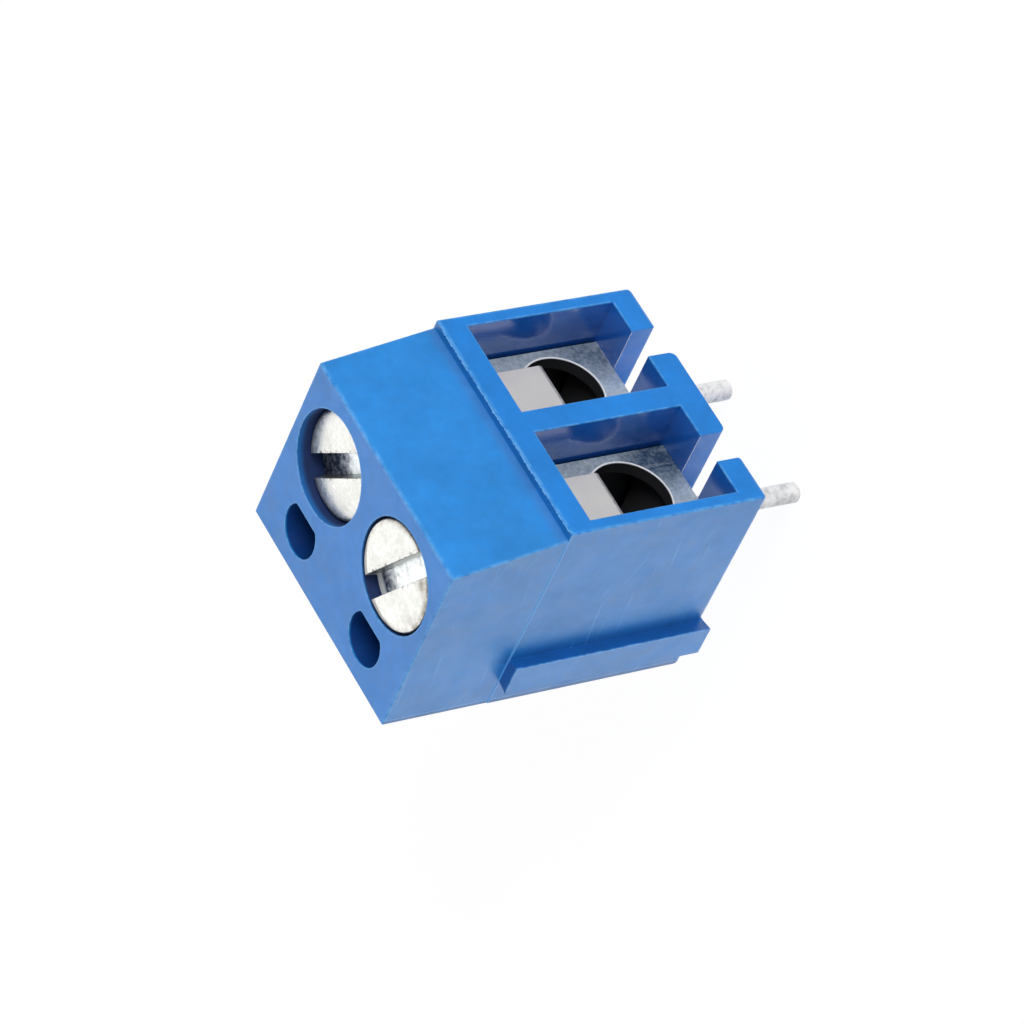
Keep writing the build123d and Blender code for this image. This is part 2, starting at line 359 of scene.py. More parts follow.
def hypotenuse(tree, first, second):
    """The square root of the sum of two squares."""
    squares = calculate(tree, "MULTIPLY_ADD", first, first, product(tree, second, second))
    return calculate(tree, "SQRT", squares)


def remap(tree, source, low, high, to_low=0.0, to_high=1.0, smooth=True):
    """A Map Range node from low..high to to_low..to_high, clamped."""
    node = tree.nodes.new("ShaderNodeMapRange")
    node.interpolation_type = "SMOOTHSTEP" if smooth else "LINEAR"
    feed(tree, node.inputs["Value"], source)
    feed(tree, node.inputs["From Min"], low)
    feed(tree, node.inputs["From Max"], high)
    feed(tree, node.inputs["To Min"], to_low)
    feed(tree, node.inputs["To Max"], to_high)
    return node.outputs["Result"]


def blend_values(tree, share, first, second):
    """A value that is the first at share 0 and the second at share 1."""
    return remap(tree, share, 0.0, 1.0, first, second, smooth=False)


def blend_colours(tree, share, first, second, how="MIX"):
    """A colour Mix node; share 0 gives the first colour and 1 the second."""
    node = tree.nodes.new("ShaderNodeMix")
    node.data_type = "RGBA"
    node.blend_type = how
    feed(tree, node.inputs["Factor"], share)
    ends = [socket for socket in node.inputs if socket.type == "RGBA"]
    for socket, colour in zip(ends, (first, second)):
        feed(tree, socket, colour if isinstance(colour, bpy.types.NodeSocket) else (*colour, 1))
    return next(socket for socket in node.outputs if socket.type == "RGBA")


def grey(tree, value):
    """A grey colour, or a factor for all three channels, from one value."""
    node = tree.nodes.new("ShaderNodeCombineXYZ")
    for axis in "XYZ":
        feed(tree, node.inputs[axis], value)
    return node.outputs[0]


def bump(tree, height, strength, distance):
    """A Bump node whose distance is in metres."""
    node = tree.nodes.new("ShaderNodeBump")
    node.inputs["Strength"].default_value = strength
    node.inputs["Distance"].default_value = distance
    feed(tree, node.inputs["Height"], height)
    return node.outputs["Normal"]


def noise(tree, place, scale, detail=3.0, roughness=0.55):
    """A Noise node's value; scale is in features per millimetre."""
    node = tree.nodes.new("ShaderNodeTexNoise")
    feed(tree, node.inputs["Vector"], place)
    feed(tree, node.inputs["Scale"], scale)
    feed(tree, node.inputs["Detail"], detail)
    feed(tree, node.inputs["Roughness"], roughness)
    return node.outputs["Fac"]


def stretch(tree, place, turn, scale):
    """A Mapping node that turns the place about one axis, in degrees, and then scales it."""
    node = tree.nodes.new("ShaderNodeMapping")
    node.vector_type = "TEXTURE"
    feed(tree, node.inputs["Vector"], place)
    node.inputs["Rotation"].default_value = [-math.radians(angle) for angle in turn]
    node.inputs["Scale"].default_value = [1 / factor for factor in scale]
    return node.outputs["Vector"]


def mesh_value(tree, name):
    """A value that the piece's mesh carries at each point."""
    node = tree.nodes.new("ShaderNodeAttribute")
    node.attribute_name = name
    return node.outputs["Fac"]


def coordinates(tree, kind):
    """One kind of texture coordinate, as a vector."""
    return tree.nodes.new("ShaderNodeTexCoord").outputs[kind]


def axes(tree, vector):
    """A vector's X, Y and Z."""
    node = tree.nodes.new("ShaderNodeSeparateXYZ")
    feed(tree, node.inputs[0], vector)
    return node.outputs


# Effects that the materials share, as node groups

FLOAT = "NodeSocketFloat"
VECTOR = "NodeSocketVector"


def start_group(name, inputs, outputs):
    """An empty shader node group; inputs are (name, kind, default) and outputs are (name, kind)."""
    tree = bpy.data.node_groups.new(name, "ShaderNodeTree")
    for label, kind, default in inputs:
        socket = tree.interface.new_socket(label, in_out="INPUT", socket_type=kind)
        socket.default_value = default
    for label, kind in outputs:
        tree.interface.new_socket(label, in_out="OUTPUT", socket_type=kind)
    given = tree.nodes.new("NodeGroupInput").outputs
    return tree, given, tree.nodes.new("NodeGroupOutput").inputs


def use(tree, group, **values):
    """Places a group in a material with its own values."""
    node = tree.nodes.new("ShaderNodeGroup")
    node.node_tree = group
    for label, source in values.items():
        feed(tree, node.inputs[label], source)
    return node.outputs


def millimetres_group():
    """Object coordinates in millimetres, as a vector and one by one, and X from the pole on that side."""
    tree, _, out = start_group(
        "millimetres", (), (("Place", VECTOR), ("X", FLOAT), ("Y", FLOAT), ("Z", FLOAT), ("Pole X", FLOAT))
    )
    scaled = tree.nodes.new("ShaderNodeVectorMath")
    scaled.operation = "SCALE"
    scaled.inputs["Scale"].default_value = 1 / MM
    feed(tree, scaled.inputs[0], coordinates(tree, "Object"))
    place = scaled.outputs[0]
    feed(tree, out["Place"], place)
    parts = axes(tree, place)
    for axis in "XYZ":
        feed(tree, out[axis], parts[axis])
    pole = calculate(tree, "MULTIPLY", calculate(tree, "SIGN", parts["X"]), POLE_X)
    feed(tree, out["Pole X"], offset_from(tree, parts["X"], pole))
    return tree


def mottling_group():
    """Soft clouds with finer specks in them, between a low and a high value."""
    tree, given, out = start_group(
        "mottling",
        (("Place", VECTOR, (0, 0, 0)), ("Scale", FLOAT, 1.0), ("Low", FLOAT, 0.9), ("High", FLOAT, 1.1)),
        (("Value", FLOAT),),
    )
    clouds = noise(tree, given["Place"], given["Scale"], detail=4.0, roughness=0.62)
    feed(tree, out["Value"], remap(tree, clouds, 0.32, 0.68, given["Low"], given["High"], smooth=False))
    return tree


def scratches_group():
    """Thin straight scratches: noise in a place drawn out along one axis, of which the peaks are kept."""
    tree, given, out = start_group(
        "scratches", (("Place", VECTOR, (0, 0, 0)), ("Threshold", FLOAT, 0.62)), (("Mask", FLOAT),)
    )
    lines = noise(tree, given["Place"], 1.0, detail=2.0, roughness=0.5)
    above = calculate(tree, "ADD", given["Threshold"], 0.07)
    feed(tree, out["Mask"], remap(tree, lines, given["Threshold"], above))
    return tree


def band_group():
    """1 where a distance is nought, falling smoothly to 0 at the width."""
    tree, given, out = start_group(
        "band", (("Distance", FLOAT, 0.0), ("Width", FLOAT, 0.1)), (("Mask", FLOAT),)
    )
    size = calculate(tree, "ABSOLUTE", given["Distance"])
    feed(tree, out["Mask"], remap(tree, size, 0.0, given["Width"], 1.0, 0.0))
    return tree


groups = {
    "millimetres": millimetres_group(),
    "mottling": mottling_group(),
    "scratches": scratches_group(),
    "band": band_group(),
}


def mottled(tree, here, scale, low, high):
    """Mottling over the piece between two values; scale is in features per millimetre."""
    return use(tree, groups["mottling"], Place=here["Place"], Scale=scale, Low=low, High=high)["Value"]


def scratched(tree, here, turn, scale, threshold):
    """Scratches along the axis whose scale is smallest, once the place has been turned."""
    drawn = stretch(tree, here["Place"], turn, scale)
    return use(tree, groups["scratches"], Place=drawn, Threshold=threshold)["Mask"]


def line(tree, distance, width):
    """1 where the distance is nought, fading to 0 at the width."""
    return use(tree, groups["band"], Distance=distance, Width=width)["Mask"]


def by_pole(tree, here, values):
    """The first value at the near pole and the second at the far one, changing close to X = 0."""
    return remap(tree, here["X"], -0.1, 0.1, *values)


# Finishes. A mask fades between the two distances that it is given, in millimetres.

def material(name):
    """An empty node material with its Principled shader wired to the output."""
    made = bpy.data.materials.new(name)
    made.use_nodes = True
    made.node_tree.nodes.clear()
    tree = made.node_tree
    out = tree.nodes.new("ShaderNodeOutputMaterial")
    shader = tree.nodes.new("ShaderNodeBsdfPrincipled")
    tree.links.new(shader.outputs["BSDF"], out.inputs["Surface"])
    return made, tree, shader


def from_upright_axis(tree, here, axis_y):
    """Distance in plan from the upright axis at a pole's X and the given Y."""
    return hypotenuse(tree, offset_from(tree, here["Y"], axis_y), here["Pole X"])


def from_window(tree, here):
    """Distance to the window's outline in the front's plane: below nought inside it."""
    across = offset_from(tree, calculate(tree, "ABSOLUTE", here["Pole X"]), WINDOW_HALF_WIDTH)
    from_middle = offset_from(tree, here["Z"], WINDOW_MIDDLE)
    upright = offset_from(tree, calculate(tree, "ABSOLUTE", from_middle), WINDOW_HALF_HEIGHT)
    return greatest(tree, across, upright)


def from_slope(tree, here):
    """Distance to the sloped front's plane."""
    run, rise = BROW_Y - LEDGE_BACK_Y, TOP_HEIGHT - LEDGE_HEIGHT
    length = math.hypot(run, rise)
    forward = product(tree, offset_from(tree, here["Y"], LEDGE_BACK_Y), -rise / length)
    return calculate(tree, "MULTIPLY_ADD", offset_from(tree, here["Z"], LEDGE_HEIGHT), run / length, forward)


def from_core_hole(tree, here):
    """Distance to the D-shaped hole's outline in plan: below nought inside it."""
    round_part = offset_from(tree, from_upright_axis(tree, here, CORE_HOLE_Y), CORE_HOLE_RADIUS)
    flat_part = calculate(tree, "SUBTRACT", CORE_HOLE_Y - CORE_HOLE_FLAT, here["Y"])
    return greatest(tree, round_part, flat_part)


def moulding_distances(tree, here):
    """How far a place lies past each face, edge or outline of the moulding, and how deep below its top."""
    return {
        "top": calculate(tree, "SUBTRACT", TOP_HEIGHT, here["Z"]),
        "side": offset_from(tree, calculate(tree, "ABSOLUTE", here["X"]), SIDE_X),
        "front": offset_from(tree, here["Y"], FRONT_Y),
        "ledge": offset_from(tree, here["Z"], LEDGE_HEIGHT),
        "ledge back": offset_from(tree, here["Y"], LEDGE_BACK_Y),
        "slope": from_slope(tree, here),
        "brow": offset_from(tree, here["Y"], BROW_Y),
        "back line": offset_from(tree, here["Y"], BACK_LINE_Y),
        "tongue root": offset_from(tree, here["X"], -SIDE_X),
        "tongue side": offset_from(tree, here["X"], TONGUE_X),
        "tongue front": offset_from(tree, here["Y"], TONGUE_FRONT_Y),
        "window": from_window(tree, here),
        "well": offset_from(tree, from_upright_axis(tree, here, SCREW_Y), WELL_RADIUS),
        "core hole": from_core_hole(tree, here),
    }


def moulding_parts(tree, here, past):
    """Masks that are 1 on one part of the moulding and 0 elsewhere, by the part's name."""
    side = product(tree, remap(tree, past["side"], -0.05, -0.02), remap(tree, past["front"], 0.0, 0.06))
    under_top = remap(tree, past["top"], 0.0, 0.04)
    on_tongue = remap(tree, past["tongue root"], 0.0, -0.03)
    before_tongue_back = remap(tree, past["tongue front"], 0.3, 0.2)
    flank = product(tree, on_tongue, remap(tree, past["tongue side"], 0.0, 0.03), before_tongue_back)
    tongue_top = product(tree, on_tongue, remap(tree, past["ledge"], -0.03, -0.005))
    return {
        "slope": product(
            tree, remap(tree, past["ledge"], 0.02, 0.05), remap(tree, past["brow"], 0.04, -0.02)
        ),
        "side": side,
        "wall": product(tree, side, remap(tree, past["side"], 0.03, 0.01)),
        # painted shade on the sides behind the back line
        "shade behind line": product(tree, side, remap(tree, past["back line"], 0.0, 0.04)),
        # painted shade in the crease by the tongue
        "shade by tongue": product(
            tree,
            remap(tree, past["tongue root"], 0.1, 0.04),
            remap(tree, past["tongue root"], -0.06, -0.03),
            remap(tree, past["tongue front"], -0.9, 0.0),
            remap(tree, past["ledge"], 0.8, 0.0),
            before_tongue_back,
        ),
        # painted sheen on the slope just above the ledge
        "sheen above ledge": product(
            tree,
            remap(tree, past["ledge"], 0.5, 0.0),
            remap(tree, past["ledge"], 0.0, 0.02),
            remap(tree, past["ledge back"], 0.2, 0.1),
        ),
        # the ledge, painted in shade
        "ledge": product(
            tree,
            line(tree, past["ledge"], 0.06),
            remap(tree, past["ledge back"], 0.03, -0.02),
            remap(tree, past["front"], 0.05, 0.09),
        ),
        # the tongue's flank and top end, painted in shade
        "tongue": greatest(tree, flank, tongue_top),
        # the chambers: glossy, and painted in shade
        "chamber": product(
            tree,
            remap(tree, past["window"], 0.06, 0.0),
            remap(tree, past["front"], 0.03, 0.1),
            remap(tree, here["Y"], CHAMBER_BACK_Y + 0.1, CHAMBER_BACK_Y + 0.05),
        ),
        "well": product(
            tree,
            remap(tree, past["well"], 0.05, 0.0),
            under_top,
            remap(tree, here["Z"], WELL_FLOOR - 0.3, WELL_FLOOR - 0.1),
        ),
        "core hole": product(
            tree,
            remap(tree, past["core hole"], 0.05, 0.0),
            under_top,
            remap(tree, here["Z"], CORE_HOLE_FLOOR - 0.1, CORE_HOLE_FLOOR - 0.05),
        ),
        # a painted highlight along the flash
        "flash": product(
            tree,
            remap(tree, past["ledge"], 0.0, 0.004),
            remap(tree, past["ledge"], 0.12, 0.1),
            remap(tree, past["front"], 0.14, 0.12),
        ),
    }


def moulding_colour(tree, here, past, on):
    """The base blue, tinted part by part with painted light and shade, then painted shade in the chambers,
    the wells and the core holes.
    """
    colour = MOULDING_BLUE
    for part, strength, tint in PAINTED_LIGHT_TINTS:
        colour = blend_colours(tree, product(tree, on[part], strength), colour, tint)
    # painted shade, darker into the chamber and black past the plate
    into_chamber = remap(tree, here["Y"], FRONT_Y, PLATE_FRONT_Y - 0.2)
    chamber = blend_colours(tree, into_chamber, CHAMBER_MOUTH_SHADE, CHAMBER_PLATE_SHADE)
    past_plate = remap(tree, here["Y"], PLATE_FRONT_Y, PLATE_FRONT_Y + 0.3)
    chamber = blend_colours(tree, past_plate, chamber, PAST_PLATE_SHADE)
    colour = blend_colours(tree, on["chamber"], colour, chamber)
    # painted shade down the wells, from a depth that is less at the near pole than at the far one
    shade_from, shade_to = by_pole(tree, here, WELL_SHADE_FROM), by_pole(tree, here, WELL_SHADE_TO)
    well_shade = remap(tree, past["top"], shade_from, shade_to)
    colour = blend_colours(
        tree, on["well"], colour, blend_colours(tree, well_shade, WELL_MOUTH_SHADE, WELL_DEEP_SHADE)
    )
    # painted shade down the core holes
    hole_shade = product(tree, on["core hole"], remap(tree, past["top"], 0.0, 0.12))
    return blend_colours(tree, hole_shade, colour, CORE_HOLE_SHADE)


def moulding_highlights_and_scratches(tree, here, past, on):
    """Painted highlights, broken along edges and rims, along the flash and the sides' two lines; and the
    sides' scratches.
    """
    edges = [
        product(tree, line(tree, past[first], width), line(tree, past[second], width))
        for first, second, width in EDGE_HIGHLIGHTS
    ]
    slope_highlight = product(
        tree,
        line(tree, past["slope"], SLOPE_HIGHLIGHT),
        line(tree, past["side"], SLOPE_HIGHLIGHT),
        remap(tree, past["ledge"], 0.0, 0.02),
    )
    rim_highlights = product(
        tree,
        remap(tree, past["top"], 0.06, 0.01),
        greatest(tree, line(tree, past["well"], RIM_HIGHLIGHT), line(tree, past["core hole"], RIM_HIGHLIGHT)),
    )
    window_highlight = product(tree, remap(tree, past["front"], 0.12, 0.02), line(tree, past["window"], RIM_HIGHLIGHT))
    breaks = mottled(tree, here, 3.6, 0.0, 0.85)
    broken = product(tree, greatest(tree, rim_highlights, window_highlight, slope_highlight, *edges), breaks)
    side_highlights = [
        product(tree, line(tree, past[place], width), strength) for place, width, strength in SIDE_HIGHLIGHTS
    ]
    scratches = greatest(tree, *(scratched(tree, here, *values) for values in SIDE_SCRATCHES))
    return greatest(
        tree,
        broken,
        product(tree, on["flash"], FLASH_HIGHLIGHT),
        product(tree, on["wall"], greatest(tree, *side_highlights)),
        product(tree, on["wall"], scratches, SCRATCH_STRENGTH),
    )


def housing_plastic():
    """Blue moulding: satin outside with clouds and stains, painted highlights along its sharp edges.

    The chambers are glossy, painted in a darker blue as shade, and the wells and the core holes are painted
    in darker shade still. The ledge is painted in shade, the slope just above it has a painted sheen, the
    slope and the sides are tinted for how light falls on them, and the tongue's flank, the crease by it and
    the sides behind the back line are painted in shade. The sides have faint scratches, and painted
    highlights at the ledge's height and just before the back.
    """
    made, tree, shader = material("housing_plastic")
    here = use(tree, groups["millimetres"])
    past = moulding_distances(tree, here)
    on = moulding_parts(tree, here, past)
    colour = moulding_colour(tree, here, past, on)
    clouds = mottled(tree, here, 0.45, 0.88, 1.08)
    stains = mottled(tree, here, 2.4, 0.94, 1.04)
    colour = blend_colours(tree, 1.0, colour, grey(tree, product(tree, clouds, stains)), "MULTIPLY")
    # painted highlights, and the scratches, in light blue
    colour = blend_colours(tree, moulding_highlights_and_scratches(tree, here, past, on), colour, HIGHLIGHT_AND_SCRATCH_BLUE)
    feed(tree, shader.inputs["Base Color"], colour)

    satin = mottled(tree, here, 1.3, 0.36, 0.46)
    rough = blend_values(tree, on["chamber"], blend_values(tree, on["well"], satin, 0.8), 0.2)
    feed(tree, shader.inputs["Roughness"], rough)
    feed(tree, shader.inputs["Coat Weight"], on["chamber"])
    shader.inputs["Coat Roughness"].default_value = 0.15
    shader.inputs["Coat IOR"].default_value = 1.9
    shader.inputs["Specular IOR Level"].default_value = 0.65
    grain = noise(tree, here["Place"], 9.0)
    waves = noise(tree, here["Place"], 0.8, detail=2.0)
    height = calculate(tree, "MULTIPLY_ADD", waves, 3.0, grain)
    feed(tree, shader.inputs["Normal"], bump(tree, height, 0.3, 0.012 * MM))
    return made


def plating_tone_and_reflection(tree, here):
    """Tone of the plating: a painted reflection falling from -X to +X and darker towards one lower corner,
    with clouds and specks.
    """
    reach, left = PLATE_REFLECTION_REACH, by_pole(tree, here, PLATE_REFLECTION_LEFT)
    tone = remap(tree, here["Pole X"], -reach, reach, left, PLATE_REFLECTION_RIGHT, smooth=False)
    corner_x, corner_height = REFLECTED_DARK_CORNER
    across = offset_from(tree, here["Pole X"], corner_x)
    upright = product(tree, offset_from(tree, here["Z"], corner_height), REFLECTED_DARK_SQUASH)
    darkest = by_pole(tree, here, REFLECTED_DARK_TONE)
    reflected_dark_corner = remap(tree, hypotenuse(tree, across, upright), *REFLECTED_DARK_REACH, darkest, 0.0)
    clouds = mottled(tree, here, 1.6, -0.13, 0.13)
    specks = mottled(tree, here, 7.0, -0.2, 0.2)
    for part in (clouds, specks, reflected_dark_corner):
        tone = calculate(tree, "ADD", tone, part)
    return tone


def frame_plating():
    """Plated strip, speckled light blue-grey, with a painted reflection that turns it dark navy towards its
    low +X corner.

    Fine scuff marks run up it, the punched hole's edge has a painted highlight, and the inside is painted
    black as shade.
    """
    made, tree, shader = material("frame_plating")
    here = use(tree, groups["millimetres"])
    colour = blend_colours(tree, plating_tone_and_reflection(tree, here), PLATING_DARK, PLATING_LIGHT)
    mark_mask = scratched(tree, here, (0, 0, 0), (6.0, 6.0, 0.6), 0.6)
    colour = blend_colours(tree, product(tree, mark_mask, 0.25), colour, SCUFF_GREY)
    from_hole = hypotenuse(tree, offset_from(tree, here["Z"], WIRE_HOLE_HEIGHT), here["Pole X"])
    in_front = remap(tree, here["Y"], PLATE_FRONT_Y + 0.04, PLATE_FRONT_Y + 0.01)
    # painted highlight along the punched hole's edge
    punched = product(tree, in_front, line(tree, offset_from(tree, from_hole, BURR_RADIUS), PUNCHED_HIGHLIGHT_WIDTH))
    colour = blend_colours(tree, punched, colour, PUNCHED_EDGE_HIGHLIGHT)
    # painted shade: the cage's inside is black
    inside = product(
        tree,
        calculate(tree, "SUBTRACT", 1.0, in_front),
        remap(tree, here["Z"], INSIDE_LOW, INSIDE_LOW + 0.2),
        remap(tree, here["Z"], INSIDE_HIGH, INSIDE_HIGH - 0.15),
    )
    strip_back_y = PLATE_FRONT_Y + STRIP_THICKNESS
    past_strip = remap(tree, here["Y"], strip_back_y - 0.02, strip_back_y + 0.05)
    black = blend_colours(tree, past_strip, INSIDE_SHADE, INSIDE_FAR_SHADE)
    colour = blend_colours(tree, inside, colour, black)
    feed(tree, shader.inputs["Base Color"], colour)
    feed(tree, shader.inputs["Metallic"], blend_values(tree, greatest(tree, punched, inside), 0.45, 0.0))
    rough = mottled(tree, here, 3.0, 0.3, 0.45)
    feed(tree, shader.inputs["Roughness"], blend_values(tree, inside, rough, 0.9))
    return made


def pin_tin():
    """Matt tin plate, nearly white, with soft grey blotches."""
    made, tree, shader = material("pin_tin")
    here = use(tree, groups["millimetres"])
    colour = blend_colours(tree, mottled(tree, here, 3.6, 0.0, 1.5), TIN_BLOTCH, TIN_WHITE)
    feed(tree, shader.inputs["Base Color"], colour)
    shader.inputs["Metallic"].default_value = 0
    shader.inputs["Specular IOR Level"].default_value = 1.0
    feed(tree, shader.inputs["Roughness"], mottled(tree, here, 6.0, 0.34, 0.5))
    feed(tree, shader.inputs["Normal"], bump(tree, noise(tree, here["Place"], 5.0), 0.6, 0.05 * MM))
    return made


def zinc_face(tree, here):
    """Off-white zinc with stains and pits, darker brown round the rim and in spots, nicked by the slot."""
    stains = mottled(tree, here, 1.6, 0.0, 1.0)
    face = blend_colours(tree, stains, ZINC_STAIN, ZINC_WHITE)
    pits = mottled(tree, here, 7.0, 0.88, 1.06)
    face = blend_colours(tree, 1.0, face, grey(tree, pits), "MULTIPLY")
    from_rim = offset_from(tree, from_upright_axis(tree, here, SCREW_Y), HEAD_RADIUS)
    # darker brown round the rim and in spots
    browned = line(tree, from_rim, BROWN_RIM_WIDTH)
    for x, y, size, strength in BROWN_SPOTS:
        away = hypotenuse(tree, offset_from(tree, here["X"], x), offset_from(tree, here["Y"], y))
        browned = greatest(tree, browned, remap(tree, away, 0.0, size, strength, 0.0))
    browned = product(tree, browned, mottled(tree, here, 2.6, 0.0, 1.1))
    face = blend_colours(tree, browned, face, RIM_AND_SPOT_BROWN)
    nicks = greatest(tree, mottled(tree, here, 6.0, -1.6, 1.3), 0.0)
    return blend_colours(tree, product(tree, mesh_value(tree, "slot_edge"), nicks), face, NICK_BROWN)


def screw_zinc():
    """Bright zinc: off-white stained faces with a brownish rim, and a slot painted dark as shade and bright
    as highlight in places.

    The mesh says where the slot is, how brightly it is painted and where its edges are. Blotches break up
    the painted highlights, its walls are painted darker as shade, and where the slot is painted brightest it
    isn't metallic.
    """
    made, tree, shader = material("screw_zinc")
    here = use(tree, groups["millimetres"])
    in_slot = mesh_value(tree, "slot_depth")
    # painted light and shade along the slot, from the mesh
    slot_light = mesh_value(tree, "slot_painted_light")
    shine = calculate(tree, "ADD", slot_light, mottled(tree, here, 4.5, -0.35, 0.35))
    slot = blend_colours(tree, shine, SLOT_SHADE, SLOT_HIGHLIGHT)
    colour = blend_colours(tree, in_slot, zinc_face(tree, here), slot)
    # painted shade on the slot's walls, strongest halfway down
    wall_shade = product(tree, in_slot, calculate(tree, "SUBTRACT", 1.0, in_slot), 4.0)
    colour = blend_colours(tree, product(tree, wall_shade, SLOT_WALL_SHADE_STRENGTH), colour, SLOT_WALL_SHADE)
    feed(tree, shader.inputs["Base Color"], colour)
    feed(tree, shader.inputs["Metallic"], blend_values(tree, remap(tree, slot_light, 1.15, 1.3), 0.8, 0.0))
    feed(tree, shader.inputs["Roughness"], mottled(tree, here, 5.0, 0.25, 0.4))
    dents = noise(tree, here["Place"], 3.5, detail=4.0)
    feed(tree, shader.inputs["Normal"], bump(tree, dents, 0.3, 0.03 * MM))
    return made


def guard_steel():
    """Plain cold-rolled strip: flat warm grey, with a blotched band of painted shade round its bend."""
    made, tree, shader = material("guard_steel")
    here = use(tree, groups["millimetres"])
    colour = blend_colours(tree, mottled(tree, here, 1.2, 0.9, 1.0), STEEL_DARK, STEEL_LIGHT)
    # a blotched band of painted shade round the bend
    mark_mask = product(tree, mesh_value(tree, "bend_shade"), mottled(tree, here, 7.0, 0.4, 1.0))
    colour = blend_colours(tree, mark_mask, colour, STEEL_BEND_SHADE)
    feed(tree, shader.inputs["Base Color"], colour)
    shader.inputs["Metallic"].default_value = 0.15
    feed(tree, shader.inputs["Roughness"], mottled(tree, here, 6.0, 0.42, 0.55))
    drawn = stretch(tree, here["Place"], (0, 0, 0), (1.0, 12.0, 12.0))
    feed(tree, shader.inputs["Normal"], bump(tree, noise(tree, drawn, 1.0), 0.15, 0.01 * MM))
    return made


def dress(node, finish):
    """Puts one finish on a CAD node, whose mesh stays as it is."""
    mesh = frame["nodes"][node].data
    mesh.materials.clear()
    mesh.materials.append(finish)


# Mesh helpers

def grid_quads(rows, columns, closed=False, start=0):
    """Quads between neighbouring rows of a grid of points; closed joins the last column to the first."""
    row = np.arange(rows - 1)[:, None]
    column = np.arange(columns if closed else columns - 1)[None, :]
    after = (column + 1) % columns
    here = start + row * columns
    corners = (here + column, here + after, here + columns + after, here + columns + column)
    return np.stack(np.broadcast_arrays(*corners), axis=-1).reshape(-1, 4)


def make_piece(name, points, faces, finish, sharp=40.0, attributes=None):
    """A mesh object from points in millimetres, with doubles merged, normals outward and smooth shading."""
    mesh = bpy.data.meshes.new(name)
    mesh.from_pydata((points * MM).tolist(), [], [face for block in faces for face in block.tolist()])
    for label, values in (attributes or {}).items():
        mesh.attributes.new(label, "FLOAT", "POINT").data.foreach_set("value", values.ravel())
    shell = bmesh.new()
    shell.from_mesh(mesh)
    bmesh.ops.remove_doubles(shell, verts=shell.verts, dist=MERGED_WITHIN)
    bmesh.ops.recalc_face_normals(shell, faces=shell.faces)
    shell.to_mesh(mesh)
    shell.free()
    mesh.shade_smooth()
    mesh.set_sharp_from_angle(angle=math.radians(sharp))
    mesh.materials.append(finish)
    piece = bpy.data.objects.new(name, mesh)
    bpy.context.collection.objects.link(piece)
    return piece


def low_high(node):
    """A CAD node's lowest and highest corners in millimetres."""
    low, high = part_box(node)
    return np.array(low) / MM, np.array(high) / MM


def ease(t):
    """Smooth step from 0 to 1."""
    t = np.clip(t, 0, 1)
    return t * t * (3 - 2 * t)


def evenly(first, last, count):
    """Evenly spaced points from the first, which is left out, to the last."""
    return np.linspace(first, last, count + 1)[1:]


# Pieces

def head_face(pole):
    """The head's upper face as rows across the slot and columns along it, from rim to rim.

    A point at a across the slot and v along it, from -1 to 1, lies at v times the chord of the
    head's circle at a. Its height is nought, less the dome and the rim's quarter round, and a
    smooth step at the slot's two walls takes it down to the slot's floor. A ragged burr stands
    along the slot, and nowhere above nought.
    """
    rows, columns = HEAD_GRID
    half_slot = SLOT_WIDTH / 2
    spread, count = SLOT_EDGE_GRID
    steps = np.linspace(-spread, spread, count) * SLOT_EDGE
    across = np.unique(np.concatenate([
        HEAD_RADIUS * np.sin(np.linspace(-math.pi / 2, math.pi / 2, rows)),
        half_slot + steps,
        -half_slot + steps,
    ]))
    along = np.sin(np.linspace(-math.pi / 2, math.pi / 2, columns))
    a, v = np.meshgrid(across, along, indexing="ij")
    b = v * np.sqrt(np.maximum(HEAD_RADIUS**2 - a**2, 0))
    radius = np.hypot(a, b)
    past_flat = np.clip(radius - (HEAD_RADIUS - RIM_ROUND), 0, RIM_ROUND)
    rim_drop = RIM_ROUND - np.sqrt(RIM_ROUND**2 - past_flat**2)
    face = -HEAD_DOME * (radius / HEAD_RADIUS) ** 2 - rim_drop
    in_slot = ease((half_slot + SLOT_EDGE - np.abs(a)) / (2 * SLOT_EDGE))
    lip = np.exp(-(((np.abs(a) - half_slot - SLOT_EDGE) / SLOT_BURR_WIDTH) ** 2))
    slow, fast = SLOT_BURR_WAVES
    ragged = 0.5 + 0.5 * np.sin(b * slow + pole) * np.cos(b * fast + 2 * pole)
    burr = SLOT_BURR * lip * ragged * (radius < HEAD_RADIUS - RIM_ROUND)
    height = (1 - in_slot) * np.minimum(face + burr, 0) - in_slot * SLOT_DEPTH
    worn_places, slot_light = zip(*SLOT_PAINTED_LIGHT[pole])
    marks = {
        "slot_depth": in_slot,
        # painted light along the slot
        "slot_painted_light": np.interp(v, worn_places, slot_light),
        "slot_edge": np.exp(-(((np.abs(a) - half_slot) / NICKED_EDGE) ** 2)),
    }
    return np.stack([a, b, height], axis=-1), marks


